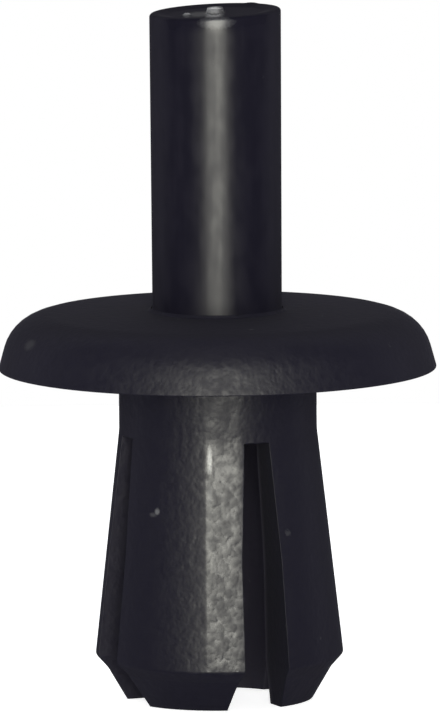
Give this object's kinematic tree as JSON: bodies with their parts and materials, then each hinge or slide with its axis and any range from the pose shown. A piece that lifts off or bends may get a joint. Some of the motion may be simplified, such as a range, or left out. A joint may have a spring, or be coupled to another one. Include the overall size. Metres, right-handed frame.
{
  "type": "plastic push rivet",
  "caption": "Plastic push rivet: a domed head on a split, flared shank that springs out behind a panel hole, and a drive pin that is pushed through the bore to lock the legs.",
  "frame": {"origin": "centre of the head's seat on the panel, on the rivet's axis", "axes": "+Z along the axis, from the leg tips towards the drive pin's free end; the slots are turned 23 degrees from the row's X and Y"},
  "size_m": [0.018, 0.018, 0.0285],
  "materials": {
    "body_plastic": "black moulded plastic with a fine spark-eroded grain, satin, lightly scuffed",
    "pin_plastic": "black moulded plastic, smoother than the body, with a soft gloss along its length"
  },
  "bodies": {
    "rivet_body": {"rivet_body": "body_plastic"},
    "drive_pin": {"drive_pin": "pin_plastic"}
  },
  "joints": [
    {"name": "pin_push", "type": "slide", "parent": "rivet_body", "child": "drive_pin", "axis": [0, 0, -1], "range_m": [0, 0.01235]}
  ]
}
